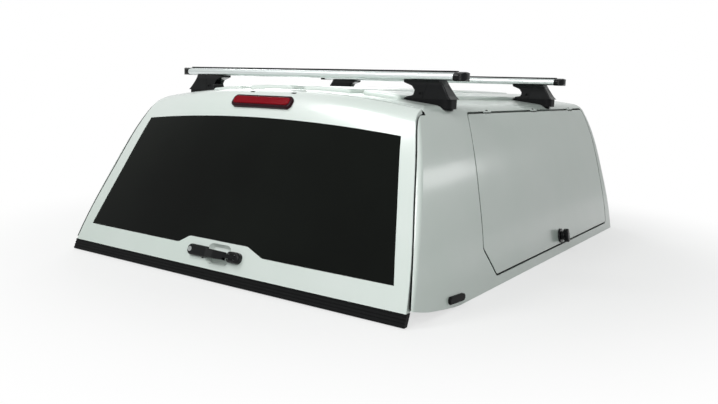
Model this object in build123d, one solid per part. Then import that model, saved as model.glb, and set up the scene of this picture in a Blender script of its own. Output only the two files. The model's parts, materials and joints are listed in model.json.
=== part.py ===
from build123d import *
import math
import os

# Pickup canopy: a moulded shell with a lift-up rear door, a lift-up door each side and two roof bars.
# Millimetres. +X is the vehicle's right, +Y its front, +Z up. The side rails stand on z = 0.

# ---- overall sizes
LENGTH = 1930.0
HALF = LENGTH / 2
BASE_HALF_WIDTH = 729.0
SIDE_POINTS = [(712.0, 110.0), (671.0, 280.0), (616.0, 455.0)]
CORNER_X = 555.0
REAR_CORNER_Z = 575.0
FRONT_CORNER_Z = 567.0
REAR_CROWN_Z = 612.0
FRONT_CROWN_Z = 604.0
REAR_SHOULDER_R = 30.0
FRONT_SHOULDER_R = 70.0
SKIN = 5.0
# The rear face as (y, z), at the middle and far out at the side: it leans forward, is slightly bowed,
# and turns over into the roof.
REAR_MIDDLE = [(-970.0, 0.0), (-895.0, 177.0), (-830.0, 321.0), (-763.0, 474.0), (-716.0, 558.0),
               (-690.0, 589.0), (-662.0, 604.0), (-630.0, 612.0), (-560.0, 624.0)]
REAR_OUTER = [(-967.0, 0.0), (-895.0, 155.0), (-830.0, 282.0), (-763.0, 404.0), (-716.0, 479.0),
              (-690.0, 509.0), (-662.0, 524.0), (-630.0, 532.0), (-560.0, 544.0)]
REAR_OUTER_X = 760.0
REAR_CORNER_R = 16.0
FRONT_LEAN = 66.0
FRONT_FOOT = 6.5
FRONT_CORNER_R = 60.0

# ---- raised roof panels
PANEL_RAISE = 14.0
PANEL_REAR_Y = -548.0
PANEL_FRONT_Y = 790.0
PANEL_OUTER_X = 416.0
GROOVE_PITCH = 250.0
GROOVE_WIDTH = 46.0
PANEL_PLAN_R = 18.0
PANEL_EDGE_R = 9.0

# ---- doors
SHUT_GAP = 7.0
REAR_SHUT_GAP = 6.0
LIP_DEPTH = 13.0
LIP_WALL = 4.0
JAMB_DEPTH = 25.0
JAMB_WALL = 5.0
REAR_JAMB_WALL = 4.0
REAR_POST = 16.0
REAR_JAMB_REACH = 34.0
SIDE_JAMB_REACH = 15.0
REAR_DOOR_BOTTOM_Z = 38.0
REAR_DOOR_SIDE = [(709.0, 38.0), (681.0, 177.0), (640.0, 321.0), (594.0, 474.0), (571.0, 532.0),
                  (558.0, 567.0)]
REAR_DOOR_TOP_Y = -650.0
BOTTOM_FLANGE_Y = -905.0
SIDE_DOOR_REAR_EDGE = [(-356.0, 546.0), (-372.0, 520.0), (-409.0, 424.0), (-454.0, 219.0), (-474.0, 134.0)]
SIDE_DOOR_CORNER = (-398.0, 39.0)
SIDE_DOOR_FRONT_Y = 835.0
SIDE_DOOR_CORNER_R = 14.0
# Under edge of the side, as (y, z): level until it sweeps up to the rear corner.
SWEEP = [(-640.0, -1.0), (-727.0, 5.0), (-799.0, 15.0), (-857.0, 24.0), (-911.0, 37.0), (-1000.0, 60.0)]
RAIL_WIDTH = 45.0
RAIL_THICKNESS = 5.0
RAIL_REAR_Y = -650.0

# ---- rear glass, as (x, z) seen square from behind
GLASS_BOTTOM = (650.0, 101.0)
GLASS_TOP = (542.0, 487.0)
GLASS_CROWN_Z = 514.0
GLASS_BUMP = [(-187.0, 101.0), (-142.0, 126.0), (114.0, 126.0), (182.0, 101.0)]
GLASS_BUMP_R = 30.0
GLASS_GAP = 1.5
GLASS_LEDGE = 16.0
GLASS_LEDGE_WALL = 4.0

# ---- bottom seal of the rear door
SEAL_HALF = 712.0
SEAL_TOP = (-950.0, 38.0)
SEAL_FOOT = (-964.0, 3.0)
SEAL_THICKNESS = 16.0
SEAL_RIBS = 4
SEAL_RIB_DEPTH = 1.8

# ---- rear handle, in a frame that lies on the door's skin
HANDLE_ORIGIN = (0.0, -934.0, 85.0)
HANDLE_LEAN = 22.0
BEZEL_LEFT_X = -125.0
BEZEL_RIGHT_X = -43.0
BEZEL_HEIGHT = 36.0
BEZEL_RISE = 14.0
BEZEL_END_R = 16.0
PIVOT_BLOCK_X = 50.0
PIVOT_BLOCK_END_X = 106.0
PIVOT_X = 82.0
PIVOT_RISE = 11.0
# The grip as (low, high) at its free end and where it narrows to the tail.
GRIP_FREE_END = (-17.0, 12.0)
GRIP_NECK = (-14.0, 11.0)
GRIP_TAIL_HEIGHT = 14.0
GRIP_GAP = 5.0
POCKET_LENGTH = 100.0
POCKET_HEIGHT = 68.0
POCKET_DEPTH = 13.0
POCKET_SLOPE = 9.0
POCKET_R = 22.0
PIN_R = 3.0
PIN_PLAY = 0.05

# ---- high brake light
LIGHT_ORIGIN = (-14.0, -711.0, 565.0)
LIGHT_LEAN = 40.0
LIGHT_WIDTH = 260.0
LIGHT_HEIGHT = 48.0
LIGHT_RISE = 9.0
LENS_BORDER = 9.0
LENS_RISE = 12.0

# ---- side lock, in a frame that lies on the side door's skin
LOCK_Y = 220.0
LOCK_Z = 68.0
LOCK_LEAN = 9.5
LOCK_SKIN_X = 718.6
LOCK_PLATE_R = 28.0
LOCK_PLATE_RISE = 7.0
LOCK_SHAFT_R = 6.0
LOCK_BOSS_R = 17.0
LOCK_RISE = 36.0
LOCK_GRIP_LENGTH = 52.0
LOCK_GRIP_WIDTH = 22.0

# ---- hinges
REAR_HINGE_Z = 606.5
HINGE_R = 3.0
HINGE_PIN_R = 1.4
REAR_HINGE_X = 90.0
HINGE_LENGTH = 60.0
SIDE_HINGE_X = 566.0
SIDE_HINGE_Z = 551.5
SIDE_HINGE_YS = (-200.0, 240.0, 680.0)

# ---- weather strips in the shut gaps
STRIP_WALL = 1.0
STRIP_START = 7.0
STRIP_REACH = 8.0
STRIP_FLAT = 2.0
STRIP_TOP_Z = 530.0

# ---- oval pads at the lower rear corners
PAD_Y = -694.0
PAD_Z = 25.0
PAD_LENGTH = 98.0
PAD_HEIGHT = 22.0
PAD_RISE = 5.0

# ---- roof bars
BAR_LENGTH = 1250.0
BAR_YS = (-480.0, 423.0)
BAR_BOTTOM_Z = 652.0
BAR_CHORD = 64.0
BAR_THICKNESS = 27.0
BAR_WALL = 2.5
STRIP_WIDTH = 20.0
STRIP_RISE = 2.5
CAP_LENGTH = 38.0
CAP_GROW = 1.2
CAP_PLAN_R = 30.0
CAP_SIDE_R = 9.0
# A foot as (x, z) seen along its bar's length of travel, and its flank as (y, z).
FOOT_OUTLINE = [(407.0, 652.0), (407.0, 644.0), (437.0, 633.0), (449.0, 618.0), (446.0, 604.0), (423.0, 600.0),
                (420.0, 594.0), (583.0, 594.0), (573.0, 604.0), (541.0, 652.0)]
FOOT_FLANK = [(33.0, 594.0), (30.0, 606.0), (25.0, 626.0), (24.0, 640.0), (27.0, 652.0)]
FOOT_WAIST_R = 7.0
FOOT_EDGE_R = 4.0
SEAM_LOW_X = 482.0
SEAM_HIGH_X = 496.0
SEAM_WIDTH = 1.2
SEAM_DEPTH = 1.5
BOLT_X = 474.0
BOLT_Z = 610.0
BOLT_R = 8.0
BOLT_HALF_SPAN = 30.5
RECESS_LENGTH = 30.0
RECESS_WIDTH = 16.0
RECESS_DEPTH = 1.0
BASE_PAD_INNER_X = 416.0
BASE_PAD_OUTER_X = 580.0
# The pad's toe ends this high, so that the open side door's edge stays 5 mm below it.
BASE_PAD_LOW_Z = 563.5
BASE_PAD_DEPTH = 74.0
BASE_PAD_R = 24.0
FAR = 2000.0
BELOW = -100.0


def section(y, corner_z, crown_z, shoulder_r, inset):
    """Cross-section of the canopy at one station, set in by the wall thickness wanted."""
    side = inset / math.cos(math.radians(15))
    right = [(BASE_HALF_WIDTH - side, -2 * inset)]
    right += [(x - side, z) for x, z in SIDE_POINTS]
    right += [(CORNER_X - side, corner_z - inset)]
    left = [(-x, z) for x, z in right]
    edges = Line(left[0], right[0]) + Spline(*right) + Spline(*left)
    edges += ThreePointArc(left[-1], (0, crown_z - inset), right[-1])
    face = make_face(Plane.XZ * edges)
    corners = [v for v in face.vertices() if v.Z > corner_z - inset - 1]
    face = fillet(corners, shoulder_r - inset if shoulder_r > inset + 1 else 1.0)
    return Pos(0, y, 0) * face


def inset_points(points, distance):
    """Move a (y, z) profile into the body, each point square to the line through its neighbours."""
    moved = []
    for i, (y, z) in enumerate(points):
        before = points[max(i - 1, 0)]
        after = points[min(i + 1, len(points) - 1)]
        along = Vector(after[0] - before[0], after[1] - before[1]).normalized()
        moved.append((y + along.Y * distance, z - along.X * distance))
    return moved


def rear_cutter(inset):
    """Everything behind and above the rear face."""
    cuts = []
    for x, points in ((-REAR_OUTER_X, REAR_OUTER), (0.0, REAR_MIDDLE), (REAR_OUTER_X, REAR_OUTER)):
        pts = inset_points(points, inset)
        low = (pts[0][0] - 25, -60.0)
        edges = Spline(low, *pts)
        edges += Polyline(pts[-1], (pts[-1][0], 700.0), (-1300, 700.0), (-1300, -60.0), low)
        cuts.append(Pos(x, 0, 0) * make_face(Plane.YZ * edges))
    return loft(cuts)


def envelope(inset):
    """The whole outside of the canopy as a solid, or its like set in by a distance."""
    rear = section(-HALF - 60, REAR_CORNER_Z, REAR_CROWN_Z, REAR_SHOULDER_R, inset)
    front = section(HALF + 20, FRONT_CORNER_Z, FRONT_CROWN_Z, FRONT_SHOULDER_R, inset)
    body = loft([rear, front], ruled=True)
    top_y = HALF - inset - FRONT_LEAN * 1.1
    foot_y = HALF + FRONT_FOOT - inset
    lean = Polyline((foot_y, -60), (top_y, 672), (HALF + 200, 672), (HALF + 200, -60), close=True)
    body -= Pos(-900, 0, 0) * extrude(make_face(Plane.YZ * lean), 1800, dir=(1, 0, 0))
    body -= rear_cutter(inset)
    front_edges = [e for e in body.edges() if e.center().Y > HALF - 150 and e.center().Z > 10
                   and min(v.Y for v in e.vertices()) > HALF - 150]
    body = fillet(front_edges, FRONT_CORNER_R - inset)
    if inset < REAR_CORNER_R - 1:
        rear_edges = [e for e in body.edges() if e.center().Y < -500 and e.center().Z > 10
                      and abs(e.center().X) > 300 and max(v.Y for v in e.vertices()) < -500]
        body = fillet(rear_edges, REAR_CORNER_R - inset)
    return body


def prism_y(face_xz, y_low, y_high):
    """A face drawn on the XZ plane, drawn out along Y."""
    return Pos(0, y_low, 0) * extrude(face_xz, y_high - y_low, dir=(0, 1, 0))


def prism_x(face_yz, x_low, x_high):
    """A face drawn on the YZ plane, drawn out along X."""
    return Pos(x_low, 0, 0) * extrude(face_yz, x_high - x_low, dir=(1, 0, 0))


def rear_door_region(grow, low_z, top_grow=None):
    """Space of the rear door, seen square from behind, grown or shrunk at its sides and top."""
    if top_grow is None:
        top_grow = grow
    right = [(x + grow, z) for x, z in REAR_DOOR_SIDE]
    right[0] = (right[0][0] + (REAR_DOOR_SIDE[0][1] - low_z) * 0.19, low_z)
    left = [(-x, z) for x, z in right]
    edges = Line(left[0], right[0]) + Spline(*right) + Spline(*left)
    edges += Polyline(right[-1], (right[-1][0], 700.0), (left[-1][0], 700.0), left[-1])
    return prism_y(make_face(Plane.XZ * edges), -FAR, REAR_DOOR_TOP_Y + top_grow)


def side_door_region(grow):
    """Space of the right side door, seen square from the side, grown or shrunk all round."""
    rear_edge = [(y - grow, z) for y, z in SIDE_DOOR_REAR_EDGE]
    rear_edge[0] = (rear_edge[0][0] + grow * 0.3, rear_edge[0][1] + grow)
    rear_edge[-1] = (rear_edge[-1][0], rear_edge[-1][1] - grow * 0.3)
    corner = (SIDE_DOOR_CORNER[0] - grow * 0.45, SIDE_DOOR_CORNER[1] - grow)
    front_y = SIDE_DOOR_FRONT_Y + grow
    edges = Spline(*rear_edge)
    edges += Polyline(rear_edge[-1], corner, (front_y, corner[1]), (front_y, rear_edge[0][1]), rear_edge[0])
    face = make_face(Plane.YZ * edges)
    face = fillet(face.vertices(), max(SIDE_DOOR_CORNER_R + grow, 3.0))
    return prism_x(face, 515.0 + grow, 900.0)


def glass_region(grow):
    """Space of the rear glass, seen square from behind."""
    x_low, z_low = GLASS_BOTTOM
    x_top, z_top = GLASS_TOP
    edges = Polyline((-x_top, z_top), (-x_low, z_low), *GLASS_BUMP, (x_low, z_low), (x_top, z_top))
    edges += ThreePointArc((-x_top, z_top), (0, GLASS_CROWN_Z), (x_top, z_top))
    face = make_face(Plane.XZ * edges)
    bump = [v for v in face.vertices() if abs(v.X) < 200]
    face = fillet(bump, GLASS_BUMP_R)
    if grow:
        face = offset(face, grow, kind=Kind.INTERSECTION)
    return prism_y(face, -FAR, -400.0)


def side_door_shell():
    """A moulded side door: its skin and a lip turned in all round its edge."""
    skin = (OUTER - SHELL_IN) & side_door_region(0)
    rim = side_door_region(0) - side_door_region(-LIP_WALL)
    lip = (rim & SHELL_IN) - envelope_at(SKIN + LIP_DEPTH)
    return skin + lip


def side_door_jamb():
    """The body's frame behind a side door: a wall in from the skin, and a flat that the door shuts over."""
    band = OUTER & side_door_region(SHUT_GAP + JAMB_WALL)
    wall = (band - JAMB_IN) - side_door_region(SHUT_GAP)
    flat = ((JAMB_OUT & band) - JAMB_IN) - side_door_region(-SIDE_JAMB_REACH)
    return wall + flat


def rear_door_shell():
    """The moulded rear door: its skin and a lip turned in all round."""
    slab = (OUTER & rear_door_region(0, REAR_DOOR_BOTTOM_Z)) & rear_cutter(SKIN + LIP_DEPTH)
    hollow_part = rear_door_region(-LIP_WALL, REAR_DOOR_BOTTOM_Z + LIP_WALL) - rear_cutter(SKIN)
    return slab - hollow_part


def rear_door_jamb():
    """The body's frame behind the rear door: posts that join the sides, a wall under the roof, and a flat."""
    post = rear_door_region(REAR_SHUT_GAP + REAR_POST, BELOW, REAR_SHUT_GAP + REAR_JAMB_WALL)
    band = (OUTER & post) & rear_cutter(JAMB_DEPTH + JAMB_WALL)
    wall = band - rear_door_region(REAR_SHUT_GAP, BELOW)
    flat = (band - rear_cutter(JAMB_DEPTH)) - rear_door_region(-REAR_JAMB_REACH, BELOW)
    return wall + flat


ENVELOPES = {}


def envelope_at(inset):
    if inset not in ENVELOPES:
        ENVELOPES[inset] = envelope(inset)
    return ENVELOPES[inset]


def keep_above(z):
    return Pos(0, 0, z + 500) * Box(4000, 4000, 1000)


OUTER = envelope_at(0.0) & keep_above(0)
SHELL_IN = envelope_at(SKIN)
JAMB_OUT = envelope_at(JAMB_DEPTH)
JAMB_IN = envelope_at(JAMB_DEPTH + JAMB_WALL)


def roof_panel(x_low, x_high, inset):
    """One raised panel of the roof, following the roof's arch."""
    rise = PANEL_RAISE - inset
    rear = section(-HALF - 60, REAR_CORNER_Z + rise, REAR_CROWN_Z + rise, REAR_SHOULDER_R, 0)
    front = section(HALF + 20, FRONT_CORNER_Z + rise, FRONT_CROWN_Z + rise, FRONT_SHOULDER_R, 0)
    arch = loft([rear, front], ruled=True)
    low_y = PANEL_REAR_Y + inset
    high_y = PANEL_FRONT_Y - inset
    plan = RectangleRounded(x_high - x_low - 2 * inset, high_y - low_y, PANEL_PLAN_R)
    plan = Pos((x_low + x_high) / 2, (low_y + high_y) / 2) * plan
    panel = arch & Pos(0, 0, 560) * extrude(plan, 100)
    return fillet([e for e in panel.edges() if e.center().Z > 592], PANEL_EDGE_R - inset)


def rear_frame(origin, lean):
    """Working plane that lies on the rear skin."""
    turn = math.radians(lean)
    return Plane(origin=origin, x_dir=(1, 0, 0), z_dir=(0, -math.cos(turn), math.sin(turn)))


# ---- fixed shell
GROOVES = (-GROOVE_PITCH, 0.0, GROOVE_PITCH)
panel_edges = [-PANEL_OUTER_X]
for groove_x in GROOVES:
    panel_edges += [groove_x - GROOVE_WIDTH / 2, groove_x + GROOVE_WIDTH / 2]
panel_edges += [PANEL_OUTER_X]
shell = OUTER
hollow = SHELL_IN
for low_x, high_x in zip(panel_edges[0::2], panel_edges[1::2]):
    shell += roof_panel(low_x, high_x, 0.0)
    hollow += roof_panel(low_x, high_x, SKIN)
shell = shell - hollow
shell -= rear_door_region(REAR_SHUT_GAP, BELOW) & rear_cutter(JAMB_DEPTH)
right_gap = side_door_region(SHUT_GAP)
left_gap = mirror(right_gap, Plane.YZ)
shell = shell - right_gap - left_gap
right_jamb = side_door_jamb()
shell = shell + right_jamb + mirror(right_jamb, Plane.YZ) + rear_door_jamb()
rails = (OUTER & Pos(0, 0, RAIL_THICKNESS / 2) * Box(4000, 4000, RAIL_THICKNESS))
rails -= Pos(0, -1000 + HALF - RAIL_WIDTH - 6, 0) * Box(2 * (BASE_HALF_WIDTH - RAIL_WIDTH), 2000, 50)
rails -= Pos(0, RAIL_REAR_Y - 500, 0) * Box(2000, 1000, 50)
shell += rails
sweep = Spline(*SWEEP) + Polyline(SWEEP[-1], (SWEEP[-1][0], -60.0), (SWEEP[0][0], -60.0), SWEEP[0])
sweep_cut = prism_x(make_face(Plane.YZ * sweep), -900.0, 900.0)
shell -= sweep_cut

# ---- rear door
door = rear_door_shell()
door -= glass_region(GLASS_GAP)
ledge = ((SHELL_IN & glass_region(12.0)) & rear_cutter(SKIN + GLASS_LEDGE_WALL)) - glass_region(-GLASS_LEDGE)
flange_slab = Pos(0, BOTTOM_FLANGE_Y - 100, REAR_DOOR_BOTTOM_Z + LIP_WALL / 2) * Box(3000, 200, LIP_WALL)
bottom = OUTER & rear_door_region(-REAR_JAMB_REACH - 6, REAR_DOOR_BOTTOM_Z) & flange_slab
door = door + ledge + bottom
glass = (OUTER - SHELL_IN) & glass_region(0)


# ---- rear handle
def on_handle(shape):
    return rear_frame(HANDLE_ORIGIN, HANDLE_LEAN) * shape


def on_door(shape):
    """A shape of the car's frame, seen from the frame that the handle is drawn in."""
    return rear_frame(HANDLE_ORIGIN, HANDLE_LEAN).location.inverse() * shape


pocket_x = (BEZEL_RIGHT_X + PIVOT_BLOCK_X) / 2


def dish(grow, depth):
    """A dish with sloping walls, its rim on the skin."""
    plans = []
    for rise, edge in ((-depth, grow - POCKET_SLOPE), (0, grow)):
        plan = RectangleRounded(POCKET_LENGTH + 2 * edge, POCKET_HEIGHT + 2 * edge, POCKET_R + edge)
        plans.append(Pos(pocket_x, 0, rise) * plan)
    bowl = loft(plans)
    return fillet(bowl.edges().group_by(Axis.Z)[0], 5.0)


pocket_mouth = extrude(RectangleRounded(POCKET_LENGTH, POCKET_HEIGHT, POCKET_R), 40)
pocket = on_handle(dish(0.0, POCKET_DEPTH) + Pos(pocket_x, 0, -1) * pocket_mouth)
cup = on_handle(dish(LIP_WALL, POCKET_DEPTH + LIP_WALL))
door = (door + (cup & OUTER)) - pocket

bezel_length = BEZEL_RIGHT_X - BEZEL_LEFT_X
bezel_plan = Pos(BEZEL_LEFT_X + bezel_length / 2, 0) * Rectangle(bezel_length, BEZEL_HEIGHT)
bezel_plan = fillet([v for v in bezel_plan.vertices() if v.X < BEZEL_RIGHT_X - 1], BEZEL_END_R)
bezel_plan = fillet([v for v in bezel_plan.vertices() if v.X > BEZEL_RIGHT_X - 1], 3.0)
bezel = Pos(0, 0, -3) * extrude(bezel_plan, BEZEL_RISE + 3)
bezel = fillet(bezel.edges().group_by(Axis.Z)[-1], 5.0)
tongue_length = GRIP_GAP + 12
bezel += Pos(BEZEL_RIGHT_X + tongue_length / 2 - 4, -2.5, 0) * Box(tongue_length, 26, 6)
bezel += Pos(BEZEL_RIGHT_X - 15, -BEZEL_HEIGHT / 2 - 1, 0) * Cylinder(2.5, 8)
bezel -= on_door(OUTER)
bezel += Pos(BEZEL_LEFT_X + bezel_length / 2, 0, -8) * Box(bezel_length - 30, BEZEL_HEIGHT - 14, 20)
KEY_X = -113.0
KEY_R = 8.0
KEY_SINK = 6.0
bezel -= Pos(KEY_X, 0, BEZEL_RISE - KEY_SINK + 10) * Cylinder(KEY_R + 0.05, 20)
key_barrel = Pos(KEY_X, 0, BEZEL_RISE - KEY_SINK + 3) * Cylinder(KEY_R, 6.0)
key_barrel -= Pos(KEY_X, 0, BEZEL_RISE) * Box(1.6, 9.0, 8.0)
block_length = PIVOT_BLOCK_END_X - PIVOT_BLOCK_X
block_middle = PIVOT_BLOCK_X + block_length / 2
block_plan = Pos(block_middle, 0) * RectangleRounded(block_length, BEZEL_HEIGHT, BEZEL_END_R)
block = Pos(0, 0, -3) * extrude(block_plan, 23.0)
block = fillet(block.edges().group_by(Axis.Z)[-1], 8.0)
block -= on_door(OUTER)
block += Pos(block_middle, 0, -8) * Box(block_length - 14, BEZEL_HEIGHT - 14, 20)
slot_start = PIVOT_BLOCK_X - 10.0
slot_end = PIVOT_X + 10.0
slot_middle = (slot_start + slot_end) / 2
block -= Pos(slot_middle, 0, 14) * Box(slot_end - slot_start, GRIP_TAIL_HEIGHT + 2, 24)
pin = Pos(PIVOT_X, 0, PIVOT_RISE) * Rot(90, 0, 0) * Cylinder(PIN_R, BEZEL_HEIGHT - 10)
block -= pin
bezel = Compound([on_handle(bezel), on_handle(block)])
grip_pin = on_handle(pin)

grip_side = Polyline((BEZEL_RIGHT_X + GRIP_GAP, 8), (PIVOT_BLOCK_X - 6, 8), (PIVOT_X - 2, PIVOT_RISE - 6),
                     (PIVOT_X + 6, PIVOT_RISE - 6), (PIVOT_X + 6, PIVOT_RISE + 6), (PIVOT_X - 4, PIVOT_RISE + 7),
                     (PIVOT_BLOCK_X - 8, 23), (0, 26), (BEZEL_RIGHT_X + GRIP_GAP, 20), close=True)
grip_end = BEZEL_RIGHT_X + GRIP_GAP
grip_neck = PIVOT_BLOCK_X - 6
half_tail = GRIP_TAIL_HEIGHT / 2
grip_tip = PIVOT_X + 8
grip_plan = Polyline((grip_end, GRIP_FREE_END[0]), (grip_end, GRIP_FREE_END[1]), (grip_neck, GRIP_NECK[1]),
                     (grip_neck, half_tail), (grip_tip, half_tail), (grip_tip, -half_tail),
                     (grip_neck, -half_tail), (grip_neck, GRIP_NECK[0]), close=True)
grip = Pos(0, 30, 0) * extrude(make_face(Plane.XZ * grip_side), 60, dir=(0, -1, 0))
grip &= Pos(0, 0, -10) * extrude(make_face(grip_plan), 60)
grip -= Pos(PIVOT_X, 0, PIVOT_RISE) * Rot(90, 0, 0) * Cylinder(PIN_R + PIN_PLAY, 60)
grip = on_handle(grip)
bezel_cut = Pos(BEZEL_LEFT_X + bezel_length / 2, 0, 0) * Box(bezel_length - 30, BEZEL_HEIGHT - 14, 60)
block_cut = Pos(block_middle, 0, 0) * Box(block_length - 14, BEZEL_HEIGHT - 14, 60)
door = door - on_handle(bezel_cut) - on_handle(block_cut)

# ---- high brake light
light_frame = rear_frame(LIGHT_ORIGIN, LIGHT_LEAN)
light_plan = RectangleRounded(LIGHT_WIDTH, LIGHT_HEIGHT, 18.0)
lens_plan = RectangleRounded(LIGHT_WIDTH - 2 * LENS_BORDER, LIGHT_HEIGHT - 2 * LENS_BORDER, 11.0)
rim = Pos(0, 0, -8) * extrude(light_plan, 8 + LIGHT_RISE)
rim = fillet(rim.edges().group_by(Axis.Z)[-1], 4.0)
rim -= extrude(lens_plan, 40)
lens = extrude(lens_plan, LENS_RISE)
lens = fillet(lens.edges().group_by(Axis.Z)[-1], 3.0)
rim = light_frame * rim
lens = light_frame * lens
door -= light_frame * (Pos(0, 0, -40) * extrude(light_plan, 100))

# ---- bottom seal
top_y, top_z = SEAL_TOP
foot_y, foot_z = SEAL_FOOT
outline = [(top_y, top_z)]
for rib in range(SEAL_RIBS):
    for part, depth in ((0.15, SEAL_RIB_DEPTH), (0.5, SEAL_RIB_DEPTH), (0.65, 0.0), (1.0, 0.0)):
        share = (rib + part) / SEAL_RIBS
        outline.append((top_y + share * (foot_y - top_y) - depth, top_z + share * (foot_z - top_z)))
outline += [(foot_y + SEAL_THICKNESS, foot_z), (top_y + SEAL_THICKNESS, top_z)]
seal = prism_x(make_face(Plane.YZ * Polyline(*outline, close=True)), -SEAL_HALF, SEAL_HALF)

# ---- rear hinges
def along_x(radius, length):
    return Rot(0, 90, 0) * Cylinder(radius, length)


def along_y(radius, length):
    return Rot(90, 0, 0) * Cylinder(radius, length)


rear_hinge_fixed = []
rear_hinge_moving = []
third = HINGE_LENGTH / 3
for side in (-1, 1):
    centre_x = side * REAR_HINGE_X
    pin_axis = Pos(centre_x, REAR_DOOR_TOP_Y, REAR_HINGE_Z)
    fixed_leaf = Polyline((-3, -1), (-3, -9), (45, -9), (45, -6.2), (10, -6.2), (3, -1), close=True)
    moving_leaf = Polyline((0, -3), (-3, 0), (-6, -9), (-26, -17.5), (-26, -21), (-3, -12), (2, -6), close=True)
    fixed = prism_x(make_face(Plane.YZ * fixed_leaf), -HINGE_LENGTH / 2, HINGE_LENGTH / 2)
    moving = prism_x(make_face(Plane.YZ * moving_leaf), -third / 2 + 0.5, third / 2 - 0.5)
    fixed += along_x(HINGE_R, HINGE_LENGTH)
    moving += along_x(HINGE_R, third - 1)
    fixed -= Box(third, 16, 30)
    fixed += along_x(HINGE_PIN_R, HINGE_LENGTH)
    moving -= along_x(HINGE_PIN_R + PIN_PLAY, HINGE_LENGTH)
    rear_hinge_fixed.append((pin_axis * fixed) - shell)
    rear_hinge_moving.append(pin_axis * moving)
    door -= pin_axis * (Pos(0, 0, -2) * Box(HINGE_LENGTH + 2, 13, 20))
    door -= pin_axis * (Pos(0, -14, -14) * Box(third, 28, 14))
    shell -= pin_axis * Box(third, 13, 12)

# ---- black weather strips in the shut gaps
rear_ring = rear_door_region(REAR_SHUT_GAP, BELOW) - rear_door_region(REAR_SHUT_GAP - STRIP_WALL, BELOW)
rear_strip = ((OUTER & rear_ring) & rear_cutter(JAMB_DEPTH)) - rear_cutter(STRIP_START)
flat_ring = rear_door_region(REAR_SHUT_GAP, BELOW) - rear_door_region(-STRIP_REACH, BELOW)
rear_strip += ((OUTER & flat_ring) & rear_cutter(JAMB_DEPTH)) - rear_cutter(JAMB_DEPTH - STRIP_FLAT)
rear_strip -= sweep_cut
for side in (-1, 1):
    rear_strip -= Pos(side * REAR_HINGE_X, REAR_DOOR_TOP_Y, REAR_HINGE_Z) * Box(HINGE_LENGTH + 4, 80, 80)
side_ring = side_door_region(SHUT_GAP) - side_door_region(SHUT_GAP - STRIP_WALL)
side_strip = ((side_ring & SHELL_IN) - JAMB_OUT) - keep_above(STRIP_TOP_Z)

# ---- right side door and its lock
side_door = side_door_shell()
turn = math.radians(LOCK_LEAN)
lock_out = (math.cos(turn), 0, math.sin(turn))
lock_frame = Plane(origin=(LOCK_SKIN_X, LOCK_Y, LOCK_Z), x_dir=(0, 1, 0), z_dir=lock_out)
side_door -= lock_frame * Cylinder(LOCK_SHAFT_R + 3, 40)
lock_plate = Pos(0, 0, LOCK_PLATE_RISE / 2) * Cylinder(LOCK_PLATE_R, LOCK_PLATE_RISE)
lock_plate = fillet(lock_plate.edges().group_by(Axis.Z)[-1], 3.0)
lock_plate += Pos(0, 0, -4) * Cylinder(LOCK_SHAFT_R + 2.8, 10)
lock_plate -= Cylinder(LOCK_SHAFT_R + PIN_PLAY, 60)
lock_plate = (lock_frame * lock_plate) - (SHELL_IN & lock_frame * (Pos(0, 0, -26) * Cylinder(40, 40)))
side_door -= lock_plate
knob = Pos(0, 0, LOCK_PLATE_RISE + 1 + 7.5) * Cylinder(LOCK_BOSS_R, 15)
knob_grip = Pos(0, 0, LOCK_RISE - 9) * Box(LOCK_GRIP_WIDTH, LOCK_GRIP_LENGTH, 18)
knob_grip = fillet(knob_grip.edges().filter_by(Axis.Z), 9.0)
knob_grip = fillet(knob_grip.edges().group_by(Axis.Z)[-1], 4.0)
knob += knob_grip
knob += Pos(0, 0, 2) * Cylinder(LOCK_SHAFT_R, 24)
nut = Pos(0, 0, -8) * Cylinder(8.0, 4.0)
knob += nut
knob = lock_frame * knob

side_hinge_fixed = []
side_hinge_moving = []
for hinge_y in SIDE_HINGE_YS:
    pin_axis = Pos(SIDE_HINGE_X, hinge_y, SIDE_HINGE_Z)
    fixed_leaf = Polyline((-1, 2.5), (-10.5, 0), (-35.5, 9), (-36.5, 6), (-11.5, -3), (-2.5, -2), close=True)
    moving_leaf = Polyline((1, -2.5), (-2.5, -1), (-9.5, -13), (-8.5, -39), (-5.5, -39), (-5.5, -13),
                           close=True)
    fixed = prism_y(make_face(Plane.XZ * fixed_leaf), -HINGE_LENGTH / 2, HINGE_LENGTH / 2)
    moving = prism_y(make_face(Plane.XZ * moving_leaf), -third / 2 + 0.5, third / 2 - 0.5)
    fixed += along_y(HINGE_R, HINGE_LENGTH)
    moving += along_y(HINGE_R, third - 1)
    fixed -= Box(14, third, 14)
    fixed += along_y(HINGE_PIN_R, HINGE_LENGTH)
    moving -= along_y(HINGE_PIN_R + PIN_PLAY, HINGE_LENGTH)
    side_hinge_fixed.append((pin_axis * fixed) - shell)
    side_hinge_moving.append(pin_axis * moving)
    side_door -= pin_axis * (Pos(-1.5, 0, -5) * Box(14, HINGE_LENGTH + 2, 14))
    knuckle_room = pin_axis * (Pos(-1.5, 0, -1) * Box(14, third, 14))
    shell = shell - knuckle_room - mirror(knuckle_room, Plane.YZ)
left_door = mirror(side_door, Plane.YZ)

# ---- oval pads on the lower rear corners
pad_plan = Pos(PAD_Y, PAD_Z) * Rot(0, 0, -4) * RectangleRounded(PAD_LENGTH, PAD_HEIGHT, PAD_HEIGHT / 2 - 0.5)
pad = prism_x(Plane.YZ * pad_plan, 650.0, BASE_HALF_WIDTH + PAD_RISE)
pad = fillet(pad.edges().group_by(Axis.X)[-1], 3.0)
pad -= OUTER

# ---- roof bars and their feet
bar_middle_z = BAR_BOTTOM_Z + BAR_THICKNESS / 2
half_chord = BAR_CHORD / 2
half_thick = BAR_THICKNESS / 2


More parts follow.
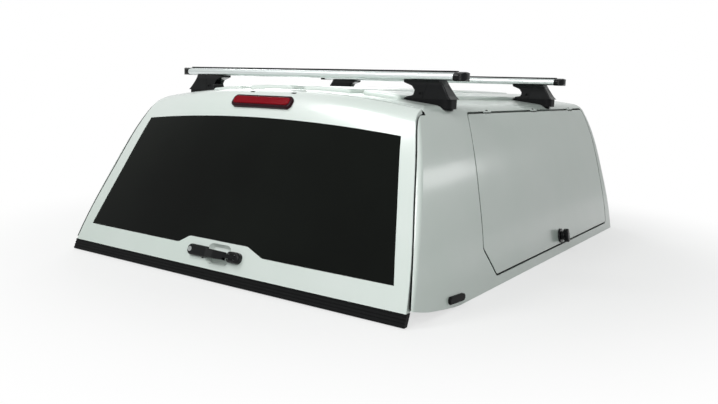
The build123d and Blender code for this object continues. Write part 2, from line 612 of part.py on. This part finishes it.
def bar_face(grow):
    c = half_chord + grow
    t = half_thick + grow
    edges = Spline((-c, -t * 0.25), (-c * 0.62, t * 0.78), (0, t), (c * 0.62, t * 0.78), (c, -t * 0.25),
                   tangents=[(0, 1), (0, -1)])
    edges += Spline((c, -t * 0.25), (c * 0.8, -t * 0.9), (c * 0.6, -t), tangents=[(0, -1), (-1, 0)])
    edges += Line((c * 0.6, -t), (-c * 0.6, -t))
    edges += Spline((-c * 0.6, -t), (-c * 0.8, -t * 0.9), (-c, -t * 0.25), tangents=[(-1, 0), (0, 1)])
    return make_face(Plane.YZ * edges)


def web(y):
    return Pos(0, y, 0) * Box(BAR_LENGTH, BAR_WALL, BAR_THICKNESS)


bar_half = BAR_LENGTH / 2 - CAP_LENGTH
bar = prism_x(bar_face(0), -bar_half, bar_half)
chambers = prism_x(bar_face(-BAR_WALL), -bar_half - 1, bar_half + 1) - web(-13) - web(13)
strip_groove = Pos(0, 0, half_thick + 1) * Box(BAR_LENGTH, STRIP_WIDTH, 8)
bar = (bar - chambers) + (bar & Pos(0, 0, half_thick - 5) * Box(BAR_LENGTH, STRIP_WIDTH + 5, 5)) - strip_groove
strip = Pos(0, 0, half_thick) * Box(2 * bar_half, STRIP_WIDTH - 0.4, 6) + Pos(0, 0, half_thick + 1.5) * Box(
    2 * bar_half, STRIP_WIDTH - 3, 2 * STRIP_RISE)
strip &= Pos(0, 0, half_thick + 3) * Box(BAR_LENGTH, 40, 12)
cap_plan = Pos(BAR_LENGTH / 2 - 100, 0) * RectangleRounded(200, 2 * (half_chord + CAP_GROW), CAP_PLAN_R)
cap = prism_x(bar_face(CAP_GROW), bar_half, BAR_LENGTH / 2) & Pos(0, 0, -50) * extrude(cap_plan, 100)
cap_side = Pos(BAR_LENGTH / 2 - 100, 0) * RectangleRounded(200, 2 * (half_thick + CAP_GROW), CAP_SIDE_R)
cap &= Pos(0, 50, 0) * extrude(Plane.XZ * cap_side, 100, dir=(0, -1, 0))
cap += prism_x(bar_face(-BAR_WALL - 0.3), bar_half - 18, bar_half) - Pos(0, 0, half_thick) * Box(
    BAR_LENGTH, STRIP_WIDTH + 6, 18) - Box(BAR_LENGTH, 2 * 13 + BAR_WALL + 0.6, BAR_THICKNESS)



def foot_flanks(inset):
    right = [(y - inset, z) for y, z in FOOT_FLANK]
    left = [(-y, z) for y, z in right]
    edges = Line(left[0], right[0]) + Spline(*right) + Line(right[-1], left[-1]) + Spline(*left)
    return prism_x(make_face(Plane.YZ * edges), 380.0, 620.0)


foot_face = make_face(Plane.XZ * Polyline(*FOOT_OUTLINE, close=True))
foot_face = fillet([v for v in foot_face.vertices() if 430 < v.X < 452 and v.Z > 602], FOOT_WAIST_R)
foot = prism_y(foot_face, -40, 40) & foot_flanks(0)
foot = fillet([e for e in foot.edges() if abs(e.center().Y) > 20 and 596 < e.center().Z < 650], FOOT_EDGE_R)
seam = Polyline((SEAM_LOW_X, 594), (SEAM_LOW_X + SEAM_WIDTH, 594), (SEAM_HIGH_X + SEAM_WIDTH, 652),
                (SEAM_HIGH_X, 652), close=True)
foot -= prism_y(make_face(Plane.XZ * seam), -40, 40) - foot_flanks(SEAM_DEPTH)
foot += Pos(BOLT_X, 0, BOLT_Z) * Rot(90, 0, 0) * Cylinder(BOLT_R, 2 * BOLT_HALF_SPAN)
for side in (-1, 1):
    bolt_end = Pos(BOLT_X, side * BOLT_HALF_SPAN, BOLT_Z) * Rot(90, 0, 0)
    foot -= bolt_end * extrude(RegularPolygon(4, 6), 5, both=True)
(low_x, low_z), (high_x, high_z) = FOOT_OUTLINE[-2:]
outer_face = Plane(origin=((low_x + high_x) / 2, 0, (low_z + high_z) / 2), x_dir=(0, 1, 0),
                   z_dir=(high_z - low_z, 0, low_x - high_x))
foot -= outer_face * extrude(RectangleRounded(RECESS_LENGTH, RECESS_WIDTH, 5.0), RECESS_DEPTH, both=True)
pad_width = BASE_PAD_OUTER_X - BASE_PAD_INNER_X
base_pad = RectangleRounded(pad_width, BASE_PAD_DEPTH, BASE_PAD_R)
base_pad = Pos((BASE_PAD_OUTER_X + BASE_PAD_INNER_X) / 2, 0) * base_pad
bars = []
strips = []
caps = []
legs = []
pads = []
for bar_y in BAR_YS:
    bars.append(Pos(0, bar_y, bar_middle_z) * bar)
    strips.append(Pos(0, bar_y, bar_middle_z) * strip)
    for turned in (False, True):
        end_cap = mirror(cap, Plane.YZ) if turned else cap
        leg = mirror(foot, Plane.YZ) if turned else foot
        flat = mirror(base_pad, Plane.YZ) if turned else base_pad
        caps.append(Pos(0, bar_y, bar_middle_z) * end_cap)
        legs.append(Pos(0, bar_y, 0) * leg)
        pads.append(Pos(0, bar_y, BASE_PAD_LOW_Z) * extrude(flat, 594 - BASE_PAD_LOW_Z) - OUTER)

# ---- pieces out
def save(name, shape):
    solids = shape.solids()
    print(name, len(solids), [round(q.volume / 1e3, 1) for q in solids])
    export_step(Compound(solids) if len(solids) > 1 else solids[0], "parts/" + name + ".step")


os.makedirs("parts", exist_ok=True)
save("canopy_shell", shell)
save("rear_door_frame", door)
save("rear_glass", glass)
save("rear_bottom_seal", seal)
save("rear_weather_strip", rear_strip)
save("side_weather_strips", Compound([side_strip, mirror(side_strip, Plane.YZ)]))
save("rear_handle_bezel", bezel)
save("rear_handle_pin", grip_pin)
save("rear_handle_grip", grip)
save("rear_key_barrel", on_handle(key_barrel))
save("brake_light_rim", rim)
save("brake_light_lens", lens)
save("rear_hinge_leaves", Compound(rear_hinge_fixed))
save("rear_door_hinge_knuckles", Compound(rear_hinge_moving))
save("right_side_door", side_door)
save("left_side_door", left_door)
save("right_lock_plate", lock_plate)
save("right_lock_knob", knob)
save("left_lock_plate", mirror(lock_plate, Plane.YZ))
save("left_lock_knob", mirror(knob, Plane.YZ))
save("right_hinge_leaves", Compound(side_hinge_fixed))
save("right_door_hinge_knuckles", Compound(side_hinge_moving))
save("left_hinge_leaves", mirror(Compound(side_hinge_fixed), Plane.YZ))
save("left_door_hinge_knuckles", mirror(Compound(side_hinge_moving), Plane.YZ))
save("corner_pads", Compound([pad, mirror(pad, Plane.YZ)]))
for place, item in zip(("rear", "front"), bars):
    save(place + "_crossbar", item)
for place, item in zip(("rear", "front"), strips):
    save(place + "_bar_strip", item)
save("rear_bar_end_caps", Compound(caps[:2]))
save("front_bar_end_caps", Compound(caps[2:]))
CORNERS = ("rear_right", "rear_left", "front_right", "front_left")
for place, leg, flat in zip(CORNERS, legs, pads):
    save(place + "_foot", leg)
    save(place + "_foot_pad", flat)
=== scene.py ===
import json
import math

import bmesh
import bpy
from mathutils import Matrix, Vector

# A hard canopy for a pickup bed, white, with a dark rear glass, black fittings and two silver roof bars.
# Metres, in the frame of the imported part: +X right, +Y front, +Z up, the side rails on z = 0.

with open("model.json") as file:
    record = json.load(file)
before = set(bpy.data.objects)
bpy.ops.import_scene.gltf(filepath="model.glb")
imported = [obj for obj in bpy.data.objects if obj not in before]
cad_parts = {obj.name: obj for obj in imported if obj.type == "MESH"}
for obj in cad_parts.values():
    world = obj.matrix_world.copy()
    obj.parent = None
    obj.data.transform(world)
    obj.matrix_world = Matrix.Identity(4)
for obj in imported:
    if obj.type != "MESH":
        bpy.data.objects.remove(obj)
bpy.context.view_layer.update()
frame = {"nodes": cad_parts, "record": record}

MM = 0.001

# The camera, worked out from the outlines in the photograph. Angles are in degrees.
CAMERA_PLACE = (1.62669, -2.54622, 0.63262)
CAMERA_AZIMUTH = 34.043
CAMERA_ELEVATION = 9.221
CAMERA_ROLL = 1.697
LENS_MM = 36.317

# Each soft box: its name, place, width and height in metres, and watts. All of them face the canopy's middle.
SOFT_BOXES = (
    ("rear_box", (0.7, -3.9, 3.0), (2.0, 1.4), 60.0),
    ("front_left_box", (-3.0, 3.0, 2.2), (2.2, 1.6), 75.0),
    ("high_left_box", (-1.6, -2.4, 4.2), (1.3, 1.1), 66.0),
    ("corner_box", (2.3, -2.6, 1.2), (0.5, 0.8), 18.0),
    ("far_right_strip", (3.4, 3.6, 1.25), (1.8, 0.35), 6.0))
CANOPY_MIDDLE = Vector((0, 0, 0.3))

# How strongly the white studio shows in glossy reflections, and how strongly it lights matt surfaces.
GLOSSY_WORLD = 0.8
MATT_WORLD = 0.2

FLOOR_RADIUS = 30.0
FLOOR_DROP = 0.5 * MM
# The floor's own shading fades into pure white between these two distances from the canopy's middle.
SHADE_ENDS = 0.9
WHITE_STARTS = 1.9
WHITE_UNDER_CANOPY = 0.62

# A wave texture has about three bands to the unit of its coordinates.
WAVE_BANDS = 3.0


def place_camera():
    """The camera at the photograph's place, looking along its azimuth and elevation, a little rolled."""
    azimuth, elevation, roll = (math.radians(a) for a in (CAMERA_AZIMUTH, CAMERA_ELEVATION, CAMERA_ROLL))
    back = Vector((math.sin(azimuth) * math.cos(elevation), -math.cos(azimuth) * math.cos(elevation),
                   math.sin(elevation)))
    right = (-back).cross(Vector((0, 0, 1))).normalized()
    up = right.cross(-back).normalized()
    across = math.cos(roll) * right + math.sin(roll) * up
    upward = -math.sin(roll) * right + math.cos(roll) * up
    camera = bpy.data.objects.new("camera", bpy.data.cameras.new("camera"))
    bpy.context.scene.collection.objects.link(camera)
    camera.matrix_world = Matrix((
        (across.x, upward.x, back.x, CAMERA_PLACE[0]),
        (across.y, upward.y, back.y, CAMERA_PLACE[1]),
        (across.z, upward.z, back.z, CAMERA_PLACE[2]),
        (0, 0, 0, 1)))
    camera.data.lens = LENS_MM
    camera.data.clip_end = 100
    bpy.context.scene.camera = camera


def linear(hex_colour):
    """An sRGB hex colour as linear RGBA."""
    channels = [int(hex_colour[i:i + 2], 16) / 255 for i in (1, 3, 5)]
    return (*[c / 12.92 if c <= 0.04045 else ((c + 0.055) / 1.055) ** 2.4 for c in channels], 1.0)


def add_node(tree, kind, values=(), links=(), **properties):
    """One node, with its properties, socket values and links."""
    node = tree.nodes.new("ShaderNode" + kind)
    for name, value in properties.items():
        setattr(node, name, value)
    for socket, value in dict(values).items():
        node.inputs[socket].default_value = value
    for socket, source in dict(links).items():
        tree.links.new(source, node.inputs[socket])
    return node


def finish(name, colour, **values):
    """A new material with its shader's own values set, and the tree and coordinates for its patterns."""
    material = bpy.data.materials.new(name)
    material.use_nodes = True
    tree = material.node_tree
    shader = tree.nodes["Principled BSDF"]
    shader.inputs["Base Color"].default_value = linear(colour)
    for socket, value in values.items():
        shader.inputs[socket.replace("_", " ")].default_value = value
    coordinates = add_node(tree, "TexCoord").outputs["Object"]
    return material, tree, shader, coordinates


def mottle(tree, shader, coordinates, size_mm, dark, light):
    """Colour that drifts between two hex values over patches of a real size."""
    noise = add_node(tree, "TexNoise", {"Scale": 1 / (size_mm * MM), "Detail": 3.0}, {"Vector": coordinates})
    ramp = add_node(tree, "ValToRGB", links={"Fac": noise.outputs["Fac"]})
    ramp.color_ramp.elements[0].position = 0.35
    ramp.color_ramp.elements[0].color = linear(dark)
    ramp.color_ramp.elements[1].position = 0.65
    ramp.color_ramp.elements[1].color = linear(light)
    tree.links.new(ramp.outputs["Color"], shader.inputs["Base Color"])


def relief(tree, shader, heights):
    """Bump from one or more (height socket, depth in mm) pairs, one on top of the other."""
    below = None
    for height, depth_mm in heights:
        links = {"Height": height}
        if below:
            links["Normal"] = below
        bump = add_node(tree, "Bump", {"Strength": 1.0, "Distance": depth_mm * MM}, links)
        below = bump.outputs["Normal"]
    tree.links.new(below, shader.inputs["Normal"])


def painted_glass_fibre():
    """Glass-fibre laminate in a sprayed two-pack gloss: bright, smooth, in panels that aren't quite flat."""
    material, tree, shader, place = finish("painted_glass_fibre", "#E9F2ED", Roughness=0.3,
                                           Coat_Weight=0.8, Coat_Roughness=0.14)
    mottle(tree, shader, place, 400, "#E6F0EA", "#EDF4F0")
    # Where little light gets in, as in the shut gaps and in inside corners, the paint is darkened towards
    # black:
    # painted shade, so that each gap reads as one dark line.
    colour = shader.inputs["Base Color"].links[0].from_socket
    shelter = add_node(tree, "AmbientOcclusion", {"Distance": 22 * MM}, samples=8)
    open_share = add_node(tree, "MapRange", {"From Min": 0.34, "From Max": 0.52},
                          {"Value": shelter.outputs["AO"]})
    painted_gap_shade = add_node(tree, "MixRGB", {"Color1": linear("#060707")},
                     {"Fac": open_share.outputs["Result"], "Color2": colour})
    tree.links.new(painted_gap_shade.outputs["Color"], shader.inputs["Base Color"])
    wave = add_node(tree, "TexNoise", {"Scale": 1 / (260 * MM), "Detail": 1.0}, {"Vector": place})
    # Orange peel is about 2 mm from crest to crest; it is drawn at 7 mm so that it shows.
    peel = add_node(tree, "TexNoise", {"Scale": 1 / (7 * MM), "Detail": 1.0}, {"Vector": place})
    relief(tree, shader, [(wave.outputs["Fac"], 5.0), (peel.outputs["Fac"], 0.012)])
    return material


def privacy_glass():
    """Toughened glass with a deep tint: almost black, flat and mirror smooth."""
    material, tree, shader, place = finish("privacy_glass", "#0D0F0D", Roughness=0.05, IOR=1.5,
                                           Specular_IOR_Level=0.08)
    mottle(tree, shader, place, 500, "#0B0D0B", "#121512")
    roller = add_node(tree, "TexNoise", {"Scale": 1 / (300 * MM), "Detail": 0.0}, {"Vector": place})
    relief(tree, shader, [(roller.outputs["Fac"], 0.4)])
    return material


def seal_rubber():
    """Extruded EPDM: matt black, faintly streaked along its length, with a fine grain."""
    material, tree, shader, place = finish("seal_rubber", "#050506", Roughness=0.6, Specular_IOR_Level=0.14)
    mottle(tree, shader, place, 60, "#040405", "#08090A")
    grain = add_node(tree, "TexNoise", {"Scale": 1 / (1.5 * MM), "Detail": 2.0}, {"Vector": place})
    relief(tree, shader, [(grain.outputs["Fac"], 0.05)])
    return material


def moulded_nylon():
    """Glass-filled nylon from a polished mould: black, with a wet gloss and soft flow marks."""
    material, tree, shader, place = finish("moulded_nylon", "#040506", Roughness=0.22,
                                           Specular_IOR_Level=0.22)
    mottle(tree, shader, place, 25, "#030405", "#07090B")
    flow = add_node(tree, "TexNoise", {"Scale": 1 / (9 * MM), "Detail": 2.0}, {"Vector": place})
    relief(tree, shader, [(flow.outputs["Fac"], 0.08)])
    return material


def anodised_aluminium():
    """Extruded bar, natural anodised: satin silver with fine die lines along its length."""
    material, tree, shader, place = finish("anodised_aluminium", "#DDE3E2", Metallic=1.0, Roughness=0.34)
    along = add_node(tree, "Mapping", {"Scale": (0.01, 1.0, 1.0)}, {"Vector": place})
    lines = add_node(tree, "TexNoise", {"Scale": 1 / (0.8 * MM), "Detail": 2.0},
                     {"Vector": along.outputs["Vector"]})
    rough = add_node(tree, "MapRange", {"To Min": 0.28, "To Max": 0.42}, {"Value": lines.outputs["Fac"]})
    tree.links.new(rough.outputs["Result"], shader.inputs["Roughness"])
    mottle(tree, shader, along.outputs["Vector"], 6, "#D6DCDB", "#E4EAE9")
    relief(tree, shader, [(lines.outputs["Fac"], 0.01)])
    return material


def plated_steel():
    """Zinc-plated pressed steel: pale grey with a soft spangle."""
    material, tree, shader, place = finish("plated_steel", "#B4B8B8", Metallic=1.0, Roughness=0.38)
    mottle(tree, shader, place, 4, "#A6ABAB", "#C2C5C4")
    return material


def red_lens_acrylic():
    """Moulded acrylic over the lamps: clear deep red, polished, with lens ribs behind its face."""
    material, tree, shader, place = finish("red_lens_acrylic", "#8E0418", Roughness=0.1,
                                           Specular_IOR_Level=0.05)
    ribs = add_node(tree, "TexWave", {"Scale": 1 / (9 * MM) / WAVE_BANDS, "Distortion": 0.0},
                    {"Vector": place}, bands_direction="X")
    # The ribs' colour runs from dark to light red in step with their bump: painted shading of each rib.
    painted_rib_shade = add_node(tree, "ValToRGB", links={"Fac": ribs.outputs["Fac"]})
    painted_rib_shade.color_ramp.elements[0].color = linear("#64020E")
    painted_rib_shade.color_ramp.elements[1].color = linear("#A6081E")
    tree.links.new(painted_rib_shade.outputs["Color"], shader.inputs["Base Color"])
    relief(tree, shader, [(ribs.outputs["Fac"], 0.35)])
    return material


def dark_red_rim():
    """Moulded acrylic surround of the lens, opaque and dark, with a polished edge."""
    material, tree, shader, place = finish("dark_red_rim", "#2C0512", Roughness=0.12, Specular_IOR_Level=0.12)
    mottle(tree, shader, place, 15, "#26040E", "#360818")
    return material


PAINT = painted_glass_fibre()
GLASS = privacy_glass()
RUBBER = seal_rubber()
NYLON = moulded_nylon()
ALUMINIUM = anodised_aluminium()
STEEL = plated_steel()
LENS = red_lens_acrylic()
LENS_RIM = dark_red_rim()

FINISH_OF_SLOT = {"gelcoat": PAINT, "glass": GLASS, "rubber": RUBBER, "black_plastic": NYLON,
                  "aluminium": ALUMINIUM, "steel": STEEL, "red_lens": LENS, "dark_red": LENS_RIM}
for part in frame["record"]["subparts"]:
    node = frame["nodes"][part["node"]]
    if not node.data.materials:
        node.data.materials.append(None)
    for place_in_list in range(len(node.material_slots)):
        node.material_slots[place_in_list].material = FINISH_OF_SLOT[part["material_slot"]]


def pale_floor():
    """A white floor that shades under the canopy and runs out into the white of the studio."""
    mesh = bpy.data.meshes.new("floor")
    outline = bmesh.new()
    bmesh.ops.create_circle(outline, cap_ends=True, segments=96, radius=FLOOR_RADIUS)
    outline.to_mesh(mesh)
    outline.free()
    floor = bpy.data.objects.new("floor", mesh)
    bpy.context.scene.collection.objects.link(floor)
    material = bpy.data.materials.new("white_floor")
    material.use_nodes = True
    tree = material.node_tree
    painted = tree.nodes["Principled BSDF"]
    painted.inputs["Base Color"].default_value = linear("#F4F4F4")
    painted.inputs["Roughness"].default_value = 0.6
    painted.inputs["Specular IOR Level"].default_value = 0.2
    place = add_node(tree, "TexCoord").outputs["Object"]
    distance = add_node(tree, "VectorMath", links={0: place}, operation="LENGTH")
    far = add_node(tree, "MapRange",
                   {"From Min": SHADE_ENDS, "From Max": WHITE_STARTS, "To Min": WHITE_UNDER_CANOPY},
                   {"Value": distance.outputs["Value"]}, interpolation_type="SMOOTHSTEP")
    white = add_node(tree, "Emission", {"Color": (1, 1, 1, 1), "Strength": 1.0})
    blend = add_node(tree, "MixShader", links={0: far.outputs["Result"], 1: painted.outputs["BSDF"],
                                               2: white.outputs["Emission"]})
    # Light that falls on the canopy from the floor is dimmed, so that the sides keep their shade.
    dim = add_node(tree, "BsdfDiffuse", {"Color": linear("#8B948F")})
    sees = add_node(tree, "LightPath")
    seen = add_node(tree, "MixShader", links={0: sees.outputs["Is Diffuse Ray"], 1: blend.outputs["Shader"],
                                              2: dim.outputs["BSDF"]})
    tree.links.new(seen.outputs["Shader"], tree.nodes["Material Output"].inputs["Surface"])
    mesh.materials.append(material)
    floor.location.z = -FLOOR_DROP


def studio_light():
    """A white studio that is dim to matt surfaces, and the soft boxes."""
    world = bpy.data.worlds.new("studio")
    bpy.context.scene.world = world
    world.use_nodes = True
    tree = world.node_tree
    sees = add_node(tree, "LightPath")
    seen = add_node(tree, "Math", links={0: sees.outputs["Is Camera Ray"],
                                         1: sees.outputs["Is Transmission Ray"]}, operation="MAXIMUM")
    glossy = add_node(tree, "Math", {1: GLOSSY_WORLD}, {0: sees.outputs["Is Glossy Ray"]},
                      operation="MULTIPLY")
    strongest = add_node(tree, "Math", links={0: seen.outputs["Value"], 1: glossy.outputs["Value"]},
                         operation="MAXIMUM")
    strength = add_node(tree, "Math", {1: MATT_WORLD}, {0: strongest.outputs["Value"]}, operation="MAXIMUM")
    background = tree.nodes["Background"]
    # Matt surfaces get a faintly green light, which the shaded side has in the photograph.
    tint = add_node(tree, "MixRGB", {"Color1": linear("#D0DDD6"), "Color2": (1, 1, 1, 1)},
                    {"Fac": strongest.outputs["Value"]})
    tree.links.new(tint.outputs["Color"], background.inputs["Color"])
    tree.links.new(strength.outputs["Value"], background.inputs["Strength"])
    for name, place, size, watts in SOFT_BOXES:
        light = bpy.data.objects.new(name, bpy.data.lights.new(name, "AREA"))
        light.data.shape = "RECTANGLE"
        light.data.size, light.data.size_y = size
        light.data.energy = watts
        light.location = place
        light.rotation_euler = (Vector(place) - CANOPY_MIDDLE).to_track_quat("Z", "Y").to_euler()
        bpy.context.scene.collection.objects.link(light)


pale_floor()
studio_light()
place_camera()
bpy.context.scene.view_settings.view_transform = "Standard"
